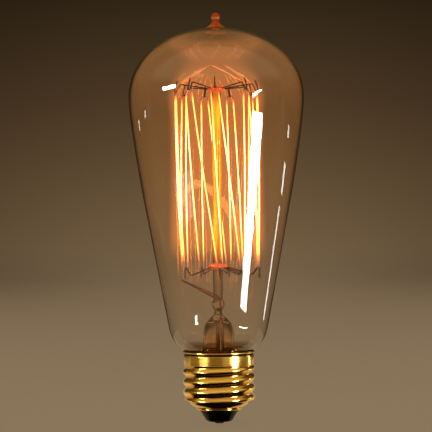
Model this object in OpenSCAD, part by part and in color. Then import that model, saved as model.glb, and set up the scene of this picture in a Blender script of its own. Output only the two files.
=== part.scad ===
// Filament bulb with a squirrel-cage filament, a glass stem and a screw cap.
// Millimetres. The origin is the lowest point of the centre contact, on the lamp's axis, and +Z points to the
// glass tip. Azimuths are measured from the front (-Y) towards +X.

/* [Centre contact and insulator] */
// Height of the contact under the insulator, with its solder
contact_h = 0.87; // [0.6:0.01:1.5]
// Thickness of the contact's brass flange
contact_flange_t = 0.35; // [0.2:0.05:0.5]
// Diameter of the contact's brass flange
contact_flange_d = 5.4; // [4.8:0.1:7]
// Diameter of the solder dome on the contact
contact_solder_d = 4.6; // [3.4:0.1:4.8]
// Outside diameter of the contact's hollow shank
contact_shank_d = 3; // [2:0.1:3.4]
// Wall of the contact's hollow shank
contact_shank_wall = 0.4; // [0.2:0.05:0.6]
// How far the solder reaches up the shank
contact_solder_plug = 1; // [0.5:0.1:3]
// Height of the insulator below the shell's mouth
insulator_h = 3.98; // [2.5:0.01:6]
// Diameter of the insulator's lower face
insulator_foot_d = 9.2; // [8:0.1:11]
// Height of the insulator above the shell's cone
insulator_inside = 0.7; // [0.4:0.1:1.5]

/* [Screw shell] */
// Height of the shell, from its mouth to its rim
shell_h = 20.86; // [19:0.01:26]
// Thickness of the brass sheet
shell_sheet = 0.3; // [0.2:0.05:0.4]
// Diameter over the thread's crests
thread_major_d = 26.2; // [25.6:0.05:26.45]
// Depth of the thread, from crest to root
thread_depth = 0.95; // [0.75:0.01:1]
// Pitch of the thread
thread_pitch = 3.629; // [3.4:0.001:3.8]
// Height of one crest at the front, above the mouth
thread_phase = 7.39; // [6:0.01:9.6]
// Height of the plain skirt over the thread, with its rim
skirt_h = 4.36; // [3.8:0.02:6]
// How far the skirt lies inside the thread's crests
skirt_inset = 0.45; // [0.2:0.05:0.6]
// How far the rolled rim stands out from the skirt
rim_out = 0.4; // [0.3:0.05:0.7]
// Height of the rolled rim
rim_h = 0.6; // [0.4:0.05:1.2]
// Diameter of the shell's mouth
mouth_d = 15.4; // [13:0.1:17]
// Diameter at the top of the cone
cone_d = 21.4; // [20:0.1:22]
// Height of the cone
cone_h = 2.9; // [2.4:0.1:3.4]

/* [Glass bulb] */
// Widest diameter
bulb_d = 63.8; // [58:0.1:70]
// Height of the widest line above the rim
bulb_widest_rise = 92.3; // [86:0.1:98]
// Height of the dome above the widest line
dome_h = 25.3; // [22:0.1:30]
// How square the dome's curve is, where 2 is an ellipse
dome_fullness = 2.1; // [1.9:0.05:2.4]
// Thickness of the glass
bulb_wall = 0.7; // [0.5:0.05:1]
// Diameter where the belly runs out into the straight taper
taper_top_d = 53.4; // [50:0.1:56]
// Height of that place above the rim
taper_top_rise = 55.2; // [50:0.1:62]
// Diameter at the foot of the straight taper
taper_foot_d = 36; // [34:0.1:40]
// Height of the taper's foot above the rim
taper_foot_rise = 9.3; // [8:0.1:12]
// How far the lip over the rim stands out past the neck
lip_out = 1.9; // [1.6:0.1:2.7]
// Height of that place above the rim
lip_rise = 1.2; // [0.8:0.1:2]
// Gap between the neck and the inside of the thread's roots
neck_gap = 0.55; // [0.2:0.05:1.2]
// Depth below the rim where the neck's straight part starts
neck_tuck = 1.3; // [1:0.1:2]
// Depth of the neck below the rim
neck_depth = 11.7; // [10.5:0.1:12.5]

/* [Glass tip] */
// Height of the tip above the dome
tip_h = 6; // [4:0.1:9]
// Diameter of the ball at the end
tip_ball_d = 3.3; // [3:0.05:4.5]
// Diameter of the neck under the ball
tip_neck_d = 2.8; // [2:0.05:2.9]
// Diameter of the flared base on the dome
tip_base_d = 7.5; // [6:0.1:10]

/* [Stem] */
// Outside diameter of the stem tube
stem_d = 11.4; // [10.4:0.1:13]
// Wall of the stem tube
stem_wall = 1; // [0.8:0.05:1.3]
// Height of the stem tube's top above the rim
stem_rise = 5.8; // [4:0.1:8]
// Height of the press above the stem tube
press_h = 13.3; // [12:0.1:16]
// Thickness of the pinched glass
press_t = 2.8; // [2.4:0.1:4]
// Width of the pinched glass, from front to back
press_w = 8.6; // [8:0.1:10]
// Thickness of the gather at the top of the press
gather_t = 4.7; // [4.2:0.1:5.6]
// Outside diameter of the exhaust tube
exhaust_d = 2.7; // [2.2:0.1:3]
// Distance of the exhaust tube to the right of the axis
exhaust_x = 0.5; // [0:0.1:0.8]
// Bore of the exhaust tube
exhaust_bore = 1.5; // [1:0.1:1.7]
// Depth of the exhaust tube's sealed end below the rim
exhaust_depth = 13; // [12:0.1:15]
// Height of the flare's curve at the foot of the stem
flare_h = 5.5; // [4:0.1:8]
// Height of the flare's lip, where it is fused to the neck
flare_lip = 1; // [0.6:0.1:1.6]
// Diameter of the hole that the exhaust tube opens through
exhaust_port_d = 1.2; // [0.8:0.1:1.4]

/* [Rod and beads] */
// Diameter of the glass support rod
rod_d = 3.4; // [2.6:0.1:3.6]
// Height of the lower bead's middle above the press
lower_bead_rise = 12; // [10:0.1:16]
// Diameter of the lower bead
lower_bead_d = 6.9; // [6.2:0.1:8]
// Height of the lower bead
lower_bead_h = 2.3; // [1.8:0.1:3]
// Height of the upper bead's middle above the lower bead's
bead_gap = 64.6; // [56:0.1:68]
// Diameter of the upper bead
upper_bead_d = 6.3; // [6:0.1:8]
// Height of the upper bead
upper_bead_h = 1.9; // [1.7:0.1:3]
// Glass left over the rod's end in the upper bead
upper_bead_cap = 0.45; // [0.3:0.05:0.6]
// How far each hook is sunk in its bead
hook_seat = 1; // [0.8:0.05:1.2]

/* [Hooks] */
// Number of upper hooks, one more than lower ones
upper_hooks = 9; // [8:1:10]
// Diameter of the hook wire
hook_wire_d = 0.4; // [0.35:0.05:0.5]
// Radius of each crook, at the wire's middle
crook_r = 0.55; // [0.5:0.05:0.8]
// Radius of the ring that the crooks stand on
cage_r = 15; // [13.5:0.1:16]
// Length of the rounding at each elbow
elbow_run = 0.7; // [0.4:0.1:0.9]
// Rise of an upper arm, from its bead to its elbow
upper_arm_rise = 1.5; // [1:0.1:3]
// Distance from an upper elbow out to its crook
upper_elbow_gap = 1.8; // [1.4:0.1:2.6]
// Drop from an upper elbow to the middle of its crook
upper_crook_drop = 2.4; // [1.8:0.1:3]
// Height of an upper hook's free end above its crook
upper_end_h = 3.6; // [3:0.1:5]
// How far an upper free end leans in from its crook
upper_end_lean = 1.2; // [0.6:0.1:1.4]
// Droop of a lower arm, from its bead to its elbow
lower_arm_droop = 3; // [2:0.1:4]
// Distance from a lower elbow out to its crook
lower_elbow_gap = 2.3; // [1.8:0.1:3]
// Rise from a lower elbow to the middle of its crook
lower_crook_rise = 2; // [1.5:0.1:3]
// Length of a lower hook's free end below its crook
lower_end_h = 3.2; // [2.5:0.1:4]

/* [Filament] */
// Diameter of the filament
filament_d = 0.4; // [0.3:0.05:0.5]
// Radius of the filament's bends over the upper hooks
top_bend_r = 1.3; // [1:0.1:1.5]
// Radius of the filament's bends under the lower hooks
low_bend_r = 0.9; // [0.7:0.05:1.2]
// How far a strand bows outwards at the middle of its length
strand_bow = 0.5; // [0:0.1:1]

/* [Lead wires] */
// Diameter of the inner leads
inner_lead_d = 0.6; // [0.4:0.05:0.7]
// Diameter of the seal wires in the press
seal_wire_d = 0.5; // [0.3:0.05:0.6]
// Distance of each seal wire in front of or behind the axis
seal_wire_y = 2.6; // [2.4:0.05:2.8]
// Distance of the seal wires to the right of the axis
seal_wire_x = 0.7; // [0.3:0.1:0.8]
// Length of the seal wires
seal_wire_l = 13.8; // [12:0.1:16]
// Diameter of the weld beads under the seal wires
weld_d = 0.9; // [0.7:0.05:1.1]
// Diameter of the outer leads
outer_lead_d = 0.4; // [0.3:0.05:0.5]
// Size of the turn that each inner lead makes over the press
lead_bend = 1.8; // [1.4:0.1:2.2]
// Radius of the lead ends that hold the filament
lead_tip_r = 13.9; // [12.5:0.1:15]
// Height of the lead ends above the press
lead_tip_rise = 7.2; // [6:0.1:8]
// Diameter of the solder that ties the side lead to the shell
side_solder_d = 1.1; // [0.8:0.1:1.3]

/* [Hidden] */
$fn = 96;
// Gap left between a seated piece and the faceted shell
seat_gap = 0.02;
// Number of flat sides around the shell, the press, a wire and the filament
shell_sides = 40;
press_sides = 28;
wire_sides = 8;
filament_sides = 6;
// Steps along each curve
dome_steps = 18;
curve_steps = 9;
crook_steps = 6;
bend_steps = 6;
strand_steps = 5;
thread_rows = 7;

// Heights, from the contact upwards
flange_z = contact_h - contact_flange_t;
foot_z = contact_h;
mouth_z = foot_z + insulator_h;
cone_z = mouth_z + cone_h;
rim_z = mouth_z + shell_h;
neck_foot_z = rim_z - neck_depth;
neck_top_z = rim_z - neck_tuck;
stem_top_z = rim_z + stem_rise;
press_top_z = stem_top_z + press_h;
lower_bead_z = press_top_z + lower_bead_rise;
upper_bead_z = lower_bead_z + bead_gap;
widest_z = rim_z + bulb_widest_rise;
dome_z = widest_z + dome_h;

bulb_r = bulb_d / 2;
crest_r = thread_major_d / 2;
root_r = crest_r - thread_depth;
skirt_r = crest_r - skirt_inset;
rim_r = skirt_r + rim_out;
neck_r = root_r - shell_sheet - neck_gap;
stem_r = stem_d / 2;
rod_r = rod_d / 2;
hook_wire_r = hook_wire_d / 2;
filament_r = filament_d / 2;

// How far each hook was bent sideways from its even place round the ring, starting at the left
upper_bends = [1, 0, -2, 5, 0, 2, 0, -3, -7, -5];
lower_bends = [12, 23, 15, 17, 3, -2, -16, -16, -20];
upper_azimuths = [for (k = [0 : upper_hooks - 1]) 360 / upper_hooks * (k - 2) + upper_bends[k]];
lower_azimuths = [for (k = [0 : upper_hooks - 2]) 360 / upper_hooks * (k - 1.5) + lower_bends[k]];
// Azimuths of the front and the rear lead's ends
lead_azimuths = [-69, -107];

function unit(v) = v / norm(v);
function outward(az) = [sin(az), -cos(az), 0];
function sideways(az) = [cos(az), sin(az), 0];
function reversed(list) = [for (i = [len(list) - 1 : -1 : 0]) list[i]];
function rest(list, from) = [for (i = [from : len(list) - 1]) list[i]];

// A curve from a to d that leaves along b and arrives from c
function curve(a, b, c, d, steps) = [
    for (i = [0 : steps])
        let (t = i / steps, s = 1 - t)
            s * s * s * a + 3 * s * s * t * b + 3 * s * t * t * c + t * t * t * d
];

// A path [radius, height] turned to an azimuth
function at_azimuth(path, az) = [for (p = path) p[0] * outward(az) + [0, 0, p[1]]];

function tangent(path, i) = unit(path[min(i + 1, len(path) - 1)] - path[max(i - 1, 0)]);

// One ring of points round a path's point, where up is any direction across the path
function ring(centre, along, up, r, sides) =
    let (n = unit(up - (up * along) * along), m = cross(along, n))
        [for (j = [0 : sides - 1]) centre + r * (cos(360 * j / sides) * n + sin(360 * j / sides) * m)];

// The rings of a round wire whose path lies in the plane across side
function wire_rings(path, r, side, sides = wire_sides) =
    [for (i = [0 : len(path) - 1]) ring(path[i], tangent(path, i), side, r, sides)];

// A closed skin over rings that all have as many points
module skin(rings, looped = false) {
    count = len(rings);
    sides = len(rings[0]);
    points = [for (r = rings, p = r) p];
    last = looped ? count - 1 : count - 2;
    walls = [
        for (i = [0 : last], j = [0 : sides - 1])
            let (
                a = i * sides + j,
                b = i * sides + (j + 1) % sides,
                c = ((i + 1) % count) * sides + (j + 1) % sides,
                d = ((i + 1) % count) * sides + j
            )
                each [[a, d, c], [a, c, b]]
    ];
    ends = looped ? [] : [
        [for (j = [0 : sides - 1]) j],
        [for (j = [sides - 1 : -1 : 0]) (count - 1) * sides + j]
    ];
    polyhedron(points = points, faces = concat(walls, ends), convexity = 8);
}

// The bulb's outer outline [radius, height], from the dome's top down to the neck's foot
belly_hold = 0.11 * bulb_d;
taper_hold = 0.125 * bulb_d;
shoulder_hold = 0.066 * bulb_d;
lip_run = bulb_d * [0.036, 0.027];
taper_slope = (taper_top_d - taper_foot_d) / 2 / (taper_top_rise - taper_foot_rise);
taper_top = [taper_top_d / 2, rim_z + taper_top_rise];
taper_foot = [taper_foot_d / 2, rim_z + taper_foot_rise];
taper_way = [taper_slope, 1];
lip = [neck_r + lip_out, rim_z + lip_rise];
dome_outline = [
    for (i = [0 : dome_steps])
        let (u = 90 * (1 - i / dome_steps))
            [
                i == 0 ? 0 : bulb_r * pow(cos(u), 2 / dome_fullness),
                widest_z + dome_h * pow(sin(u), 2 / dome_fullness)
            ]
];
belly_outline = curve(
    [bulb_r, widest_z], [bulb_r, widest_z - belly_hold],
    taper_top + taper_hold * taper_way, taper_top, curve_steps
);
shoulder_outline = curve(
    taper_foot, taper_foot - shoulder_hold * taper_way,
    lip + lip_run, lip, curve_steps
);
neck_outline = curve(
    lip, lip - lip_run / 2,
    [neck_r, neck_top_z + 0.7 * neck_tuck], [neck_r, neck_top_z], curve_steps - 3
);
bulb_outline = concat(
    dome_outline, rest(belly_outline, 1), shoulder_outline, rest(neck_outline, 1),
    [[neck_r, neck_foot_z]]
);

// An outline moved in by t, square to itself
function inset(outline, t) = [
    for (i = [0 : len(outline) - 1])
        let (way = i == 0 ? [1, 0] : tangent(outline, i))
            outline[i] + t * [way[1], -way[0]]
];

module bulb_envelope() {
    color([0.85, 0.72, 0.5, 0.3])
        rotate_extrude()
            polygon(concat(bulb_outline, reversed(inset(bulb_outline, bulb_wall))));
}

// The tip's foot follows the dome's outline, so that they meet face to face
tip_base_r = tip_base_d / 2;
tip_neck_r = tip_neck_d / 2;
tip_ball_r = tip_ball_d / 2;
tip_ball_z = dome_z + tip_h - tip_ball_r;
tip_ball_foot = -acos(tip_neck_r / tip_ball_r);
tip_foot = [for (p = dome_outline) if (p[0] < tip_base_r) p];
tip_foot_end = tip_foot[len(tip_foot) - 1];
tip_next = dome_outline[len(tip_foot)];
tip_edge = tip_foot_end
    + (tip_next - tip_foot_end) * (tip_base_r - tip_foot_end[0]) / (tip_next[0] - tip_foot_end[0]);
tip_flare = curve(
    tip_edge, tip_edge + (tip_base_r - tip_neck_r) * [-0.6, 0.2],
    [tip_neck_r, dome_z + 0.15 * tip_h], [tip_neck_r, dome_z + 0.38 * tip_h], curve_steps
);

tip_ball = [
    for (i = [0 : 2 * curve_steps])
        let (u = between(tip_ball_foot, 90, i / (2 * curve_steps)))
            [i == 2 * curve_steps ? 0 : tip_ball_r * cos(u), tip_ball_z + tip_ball_r * sin(u)]
];

module glass_tip() {
    color([0.8, 0.35, 0.08, 0.7])
        rotate_extrude()
            polygon(concat(tip_foot, tip_flare, tip_ball));
}

// The flare widens from the stem tube to the inside of the neck, where the two are fused
neck_bore_r = neck_r - bulb_wall;
flare_outer = curve(
    [stem_r, neck_foot_z + flare_lip + flare_h], [stem_r, neck_foot_z + flare_lip + flare_h / 2],
    [neck_bore_r - 0.4 * flare_h, neck_foot_z + flare_lip], [neck_bore_r, neck_foot_z + flare_lip], curve_steps
);
flare_inner = curve(
    [stem_r - stem_wall, neck_foot_z + flare_h], [stem_r - stem_wall, neck_foot_z + flare_h / 2],
    [neck_bore_r - 0.6 * flare_h, neck_foot_z], [neck_bore_r - stem_wall, neck_foot_z], curve_steps
);

module stem_flare() {
    color([0.8, 0.75, 0.62, 0.5])
        rotate_extrude()
            polygon(concat(
                [[stem_r, stem_top_z]], flare_outer, [[neck_bore_r, neck_foot_z]],
                reversed(flare_inner), [[stem_r - stem_wall, stem_top_z]]
            ));
}

// Stations up the press: [share of its height, how much of the tube's roundness is left]
shoulder_shares = [
    [0, 1], [0.17, 0.94], [0.3, 0.82], [0.38, 0.68], [0.44, 0.52],
    [0.5, 0.34], [0.56, 0.15], [0.61, 0.04], [0.67, 0]
];
// Stations of the gather on top: [share of the press's height, share of the gather's swell, share of its width]
gather_shares = [
    [0.74, 0.32, 0.99], [0.81, 0.84, 0.96], [0.88, 1, 0.93], [0.95, 0.74, 0.88], [1, 0.4, 0.82]
];
// Stations of the hollow from its roof down: [share of the press's height, share of the stem's bore]
hollow_shares = [[0.385, 0.45], [0.35, 0.66], [0.28, 0.82], [0.17, 0.94], [0, 1]];

// A station of the skin: [share of height, half thickness, half width, squareness]
function between(a, b, share) = a + (b - a) * share;
press_stations = concat(
    [
        for (s = shoulder_shares)
            [s[0], between(press_t / 2, stem_r, s[1]), between(press_w / 2, stem_r, s[1]), 2.6 - 0.6 * s[1]]
    ],
    [
        for (g = gather_shares)
            [g[0], between(press_t, gather_t, g[1]) / 2, press_w / 2 * g[2], 2.4]
    ]
);
stem_bore_r = stem_r - stem_wall;
hollow_stations = [
    for (h = hollow_shares)
        [h[0], stem_bore_r * h[1], between(seal_wire_y + seal_wire_d, stem_bore_r, h[1]), 2]
];
press_roof_z = stem_top_z + hollow_stations[0][0] * press_h;

function signed_power(v, e) = sign(v) * pow(abs(v), e);
function press_ring(station) = [
    for (j = [0 : press_sides - 1])
        let (u = 360 * j / press_sides, e = 2 / station[3])
            [
                station[1] * signed_power(cos(u), e),
                station[2] * signed_power(sin(u), e),
                stem_top_z + station[0] * press_h
            ]
];

module stem_press() {
    port_rise = exhaust_bore / 2;
    color([0.8, 0.75, 0.62, 0.5])
        difference() {
            skin([for (s = concat(hollow_stations, press_stations)) press_ring(s)]);
            for (side = [-1, 1])
                translate([seal_wire_x, side * seal_wire_y, stem_top_z])
                    cylinder(d = seal_wire_d, h = 2 * press_h);
            translate([exhaust_x, 0, stem_top_z])
                cylinder(d = exhaust_bore, h = press_roof_z - stem_top_z + port_rise);
            translate([exhaust_x, 0, press_roof_z + port_rise])
                rotate([0, 90, 0])
                    cylinder(d = exhaust_port_d, h = stem_r);
        }
}

module exhaust_tube() {
    tube_h = press_roof_z - (rim_z - exhaust_depth);
    seal_h = exhaust_d;
    color([0.8, 0.75, 0.62, 0.5])
        translate([exhaust_x, 0, rim_z - exhaust_depth])
            difference() {
                union() {
                    translate([0, 0, seal_h])
                        cylinder(d = exhaust_d, h = tube_h - seal_h);
                    cylinder(d1 = exhaust_bore / 2, d2 = exhaust_d, h = seal_h);
                }
                translate([0, 0, seal_h])
                    cylinder(d = exhaust_bore, h = tube_h);
            }
}

module support_rod() {
    color([0.85, 0.6, 0.3, 0.6])
        translate([0, 0, press_top_z])
            cylinder(d = rod_d, h = upper_bead_z + upper_bead_h / 2 - upper_bead_cap - press_top_z);
}

// A bead is a flattened round lump of glass
bead_fullness = 2.6;
function bead_outline(d, h, z) = [
    for (i = [0 : 2 * curve_steps])
        let (u = 90 - 90 * i / curve_steps)
            [
                abs(u) == 90 ? 0 : d / 2 * pow(cos(u), 2 / bead_fullness),
                z + h / 2 * signed_power(sin(u), 2 / bead_fullness)
            ]
];

// Where an arm leaves its bead: [radius of its inner end, height of its inner end, slope in degrees]
elbow_r = cage_r - upper_elbow_gap;
low_elbow_r = cage_r - lower_elbow_gap;
upper_root_r = upper_bead_d / 2 - hook_seat;
lower_root_r = lower_bead_d / 2 - hook_seat;
upper_slope = atan2(upper_arm_rise, elbow_r - upper_root_r);
lower_slope = -atan2(lower_arm_droop, low_elbow_r - lower_root_r);

// The holes that the wires are sunk in
module wire_seats(azimuths, root_r, root_z, slope) {
    for (az = azimuths)
        translate(root_r * outward(az) + [0, 0, root_z])
            rotate([0, 0, az - 90])
                rotate([0, 90 - slope, 0])
                    cylinder(d = hook_wire_d, h = 3 * hook_seat);
}

module upper_bead() {
    color([0.9, 0.3, 0.08, 0.8])
        difference() {
            rotate_extrude()
                polygon(bead_outline(upper_bead_d, upper_bead_h, upper_bead_z));
            translate([0, 0, upper_bead_z - upper_bead_h])
                cylinder(d = rod_d, h = upper_bead_h * 1.5 - upper_bead_cap);
            wire_seats(upper_azimuths, upper_root_r, upper_bead_z, upper_slope);
        }
}

module lower_bead() {
    color([0.9, 0.3, 0.08, 0.8])
        difference() {
            rotate_extrude()
                polygon(bead_outline(lower_bead_d, lower_bead_h, lower_bead_z));
            translate([0, 0, lower_bead_z - lower_bead_h])
                cylinder(d = rod_d, h = 2 * lower_bead_h);
            wire_seats(lower_azimuths, lower_root_r, lower_bead_z, lower_slope);
        }
}

// Upper hook: out and up to the elbow, down into the crook and up to the free end
upper_crook = [cage_r, upper_bead_z + upper_arm_rise - upper_crook_drop];
upper_elbow = [elbow_r, upper_bead_z + upper_arm_rise];
upper_root = [upper_root_r, upper_bead_z];
upper_arm_way = unit(upper_elbow - upper_root);
upper_hook_path = concat(
    [upper_root, between(upper_root, upper_elbow, 0.7)],
    curve(
        upper_elbow - elbow_run * upper_arm_way, upper_elbow,
        upper_elbow, upper_elbow + elbow_run * [0.42, -0.9], 3
    ),
    [for (i = [0 : crook_steps]) let (u = 180 + 180 * i / crook_steps) upper_crook + crook_r * [cos(u), sin(u)]],
    [upper_crook + [crook_r - upper_end_lean / 2, upper_end_h / 2]],
    [upper_crook + [crook_r - upper_end_lean, upper_end_h]]
);

// Lower hook: out and down to the elbow, up over the crook and down to the free end
lower_elbow = [low_elbow_r, lower_bead_z - lower_arm_droop];
lower_crook = [cage_r, lower_elbow[1] + lower_crook_rise];
lower_root = [lower_root_r, lower_bead_z];
lower_arm_way = unit(lower_elbow - lower_root);
lower_hook_path = concat(
    [lower_root, between(lower_root, lower_elbow, 0.7)],
    curve(
        lower_elbow - elbow_run * lower_arm_way, lower_elbow,
        lower_elbow, lower_elbow + elbow_run * [0.9, 0.8], 3
    ),
    [for (i = [0 : crook_steps]) let (u = 180 - 180 * i / crook_steps) lower_crook + crook_r * [cos(u), sin(u)]],
    [lower_crook + [crook_r, -lower_end_h / 2]],
    [lower_crook + [crook_r, -lower_end_h]]
);

module hook(path, az) {
    color([0.28, 0.13, 0.08])
        skin(wire_rings(at_azimuth(path, az), hook_wire_r, sideways(az)));
}

module upper_hook(k) {
    hook(upper_hook_path, upper_azimuths[k]);
}

module lower_hook(k) {
    hook(lower_hook_path, lower_azimuths[k]);
}

// Heights of the filament's middle where it lies in the upper crooks and under the lower ones
top_lie_z = upper_crook[1] - crook_r + hook_wire_r + filament_r;
low_lie_z = lower_crook[1] + crook_r - hook_wire_r - filament_r;

function top_bend(az) = [
    for (i = [0 : bend_steps])
        let (u = 180 - 180 * i / bend_steps)
            cage_r * outward(az) + top_bend_r * cos(u) * sideways(az)
                + [0, 0, top_lie_z - top_bend_r + top_bend_r * sin(u)]
];
function low_bend(az) = [
    for (i = [0 : bend_steps])
        let (u = 180 + 180 * i / bend_steps)
            cage_r * outward(az) + low_bend_r * cos(u) * sideways(az)
                + [0, 0, low_lie_z + low_bend_r + low_bend_r * sin(u)]
];

// The inside points of a strand between two bends, bowed outwards
function strand(from, to, steps) = [
    for (i = [1 : steps - 1])
        let (t = i / steps, p = from + (to - from) * t)
            p + strand_bow * sin(180 * t) * unit([p[0], p[1], 0])
];

// The inner leads turn over to the left, and their ends hold the filament in small holes
lead_leave = lead_bend * [0.45, 0.28];
lead_turn = lead_bend * [[-1.06, 1], [-1.83, 0.67]];
lead_sides = [-1, 1];
lead_feet = [for (side = lead_sides) [seal_wire_x, side * seal_wire_y, press_top_z]];
lead_turns = [for (k = [0, 1]) lead_feet[k] + [lead_turn[k][0], lead_sides[k] * inner_lead_d / 2, lead_turn[k][1]]];
lead_tips = [
    for (az = lead_azimuths) lead_tip_r * outward(az) + [0, 0, press_top_z + lead_tip_rise]
];
lead_holes = [for (k = [0, 1]) lead_tips[k] - inner_lead_d * unit(lead_tips[k] - lead_turns[k])];
function lead_end(k) = [for (rise = [-0.5, 1.6]) lead_holes[k] + [0, 0, rise * inner_lead_d]];

filament_stops = concat(
    [lead_end(0)],
    [
        for (k = [0 : upper_hooks - 1])
            each [
                top_bend(upper_azimuths[k]),
                if (k < upper_hooks - 1) low_bend(lower_azimuths[k])
            ]
    ],
    [reversed(lead_end(1))]
);
function filament_path(steps) = [
    for (i = [0 : len(filament_stops) - 1])
        let (stop = filament_stops[i], next = filament_stops[i + 1])
            each concat(stop, next == undef ? [] : strand(stop[len(stop) - 1], next[0], steps))
];

// The least clear distance between two places of the filament that are more than one bend apart
function least_gap(path, apart) = min([
    for (i = [0 : len(path) - 1 - apart], j = [i + apart : len(path) - 1]) norm(path[i] - path[j])
]) - filament_d;

module filament() {
    path = filament_path(strand_steps);
    echo(filament_least_gap = least_gap(filament_path(24), bend_steps + 1));
    color([1, 0.62, 0.2])
        skin([
            for (i = [0 : len(path) - 1])
                ring(path[i], tangent(path, i), [path[i][0], path[i][1], 0], filament_r, filament_sides)
        ]);
}

function inner_lead_path(k) = concat(
    [lead_feet[k]],
    curve(
        lead_feet[k] + [0, 0, inner_lead_d / 4], lead_feet[k] + [0, 0, lead_leave[k]],
        lead_turns[k] - 0.1 * (lead_tips[k] - lead_turns[k]), lead_turns[k], 5
    ),
    [for (t = [0.33, 0.67, 1]) lead_turns[k] + t * (lead_tips[k] - lead_turns[k])]
);

module inner_lead(k) {
    color([0.35, 0.14, 0.08])
        difference() {
            skin(wire_rings(inner_lead_path(k), inner_lead_d / 2, [0, 1, 0]));
            translate(lead_holes[k] - [0, 0, inner_lead_d])
                cylinder(d = filament_d, h = 2 * inner_lead_d);
        }
}

module inner_lead_front() {
    inner_lead(0);
}

module inner_lead_rear() {
    inner_lead(1);
}

// Seal wires run through the press, and hang free in the hollow under it
seal_foot_z = press_top_z - seal_wire_l;
module seal_wire(side) {
    color([0.6, 0.3, 0.15])
        translate([seal_wire_x, side * seal_wire_y, seal_foot_z])
            cylinder(d = seal_wire_d, h = seal_wire_l);
}

module seal_wire_front() {
    seal_wire(-1);
}

module seal_wire_rear() {
    seal_wire(1);
}

// A weld bead swallows the ends of both of its wires
weld_sink = 0.2;
weld_z = seal_foot_z + weld_sink - weld_d / 2;
outer_top_z = weld_z - weld_d / 2 + weld_sink;
module weld_bead(side) {
    color([0.3, 0.25, 0.2])
        translate([seal_wire_x, side * seal_wire_y, 0])
            difference() {
                translate([0, 0, weld_z])
                    sphere(d = weld_d);
                translate([0, 0, seal_foot_z])
                    cylinder(d = seal_wire_d, h = weld_d);
                translate([0, 0, outer_top_z - weld_d])
                    cylinder(d = outer_lead_d, h = weld_d);
            }
}

module weld_bead_front() {
    weld_bead(-1);
}

module weld_bead_rear() {
    weld_bead(1);
}

// Outer leads: from the weld beads down the stem, one to the centre contact and one to the shell
exhaust_end_z = rim_z - exhaust_depth;
solder_plug_z = flange_z + contact_solder_plug;
outer_leave_z = outer_top_z - weld_d / 2;
centre_drop_z = exhaust_end_z + 2 * exhaust_bore;
centre_third = (outer_leave_z - centre_drop_z) / 3;
centre_path = concat(
    [[seal_wire_x, -seal_wire_y, outer_top_z]],
    curve(
        [seal_wire_x, -seal_wire_y, outer_leave_z], [seal_wire_x, -seal_wire_y, outer_leave_z - centre_third],
        [seal_wire_x + weld_d, -seal_wire_y, centre_drop_z + centre_third],
        [seal_wire_x, -seal_wire_y, centre_drop_z], 5
    ),
    rest(curve(
        [seal_wire_x, -seal_wire_y, centre_drop_z], [seal_wire_x - weld_d / 2, -seal_wire_y, exhaust_end_z],
        [0, 0, exhaust_end_z], [0, 0, exhaust_end_z - 2 * exhaust_bore], 6
    ), 1),
    [[0, 0, solder_plug_z]]
);

module outer_lead_centre() {
    color([0.5, 0.35, 0.25])
        skin(wire_rings(centre_path, outer_lead_d / 2, [1, 0, 0]));
}

side_solder_z = neck_foot_z - 1.5 * side_solder_d;
side_solder_y = root_r - shell_sheet - side_solder_d / 2 - 2 * seat_gap;
side_end_y = side_solder_y - side_solder_d / 4;
side_drop_z = neck_foot_z + flare_h - flare_lip;
side_third = (outer_leave_z - side_drop_z) / 3;
side_lean_y = seal_wire_y + outer_lead_d;
side_path = concat(
    [[seal_wire_x, seal_wire_y, outer_top_z]],
    curve(
        [seal_wire_x, seal_wire_y, outer_leave_z], [seal_wire_x, seal_wire_y, outer_leave_z - side_third],
        [0, side_lean_y, side_drop_z + side_third], [0, side_lean_y, side_drop_z], 5
    ),
    rest(curve(
        [0, side_lean_y, side_drop_z], [0, side_lean_y, side_solder_z],
        [0, side_lean_y, side_solder_z], [0, (side_lean_y + side_end_y) / 2, side_solder_z], 6
    ), 1),
    [[0, side_end_y, side_solder_z]]
);

module outer_lead_side() {
    color([0.5, 0.35, 0.25])
        skin(wire_rings(side_path, outer_lead_d / 2, [1, 0, 0]));
}

module side_solder() {
    color([0.6, 0.6, 0.6])
        difference() {
            translate([0, side_solder_y, side_solder_z])
                sphere(d = side_solder_d);
            translate([0, side_end_y, side_solder_z])
                rotate([90, 0, 0])
                    cylinder(d = outer_lead_d, h = side_solder_d);
        }
}

// The shell's outline without its thread: [radius, height], from the mouth up
thread_mean_r = (crest_r + root_r) / 2;
thread_top_z = rim_z - skirt_h;
ramp_h = 0.44 * thread_pitch;
thread_foot_z = cone_z + 0.6 * ramp_h;
row_h = thread_pitch / thread_rows;
shell_foot = [
    [mouth_d / 2, mouth_z],
    [cone_d / 2, cone_z],
    [between(cone_d / 2, thread_mean_r, 0.67), between(cone_z, thread_foot_z, 0.45)]
];
shell_rows = [
    for (z = [thread_foot_z : row_h : thread_top_z - row_h / 2]) [thread_mean_r, z]
];
shell_head = [
    [skirt_r, thread_top_z],
    [skirt_r, rim_z - rim_h],
    [rim_r - rim_out / 4, rim_z - rim_h / 2],
    [rim_r, rim_z - rim_h / 5],
    [rim_r - rim_out / 5, rim_z]
];
shell_outline = concat(shell_foot, shell_rows, shell_head);

// How much of the thread's depth is there at height z
function thread_share(z) =
    min(1, max(0, (z - thread_foot_z) / ramp_h + 0.25)) * min(1, max(0, (thread_top_z - z) / ramp_h));
function shell_ring(p, inner) = [
    for (j = [0 : shell_sides - 1])
        let (
            az = 360 * j / shell_sides,
            wave = cos(360 * (p[1] - mouth_z - thread_phase) / thread_pitch - az),
            r = p[0] + thread_depth / 2 * thread_share(p[1]) * wave - inner
        )
            r * outward(az) + [0, 0, p[1]]
];

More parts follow.
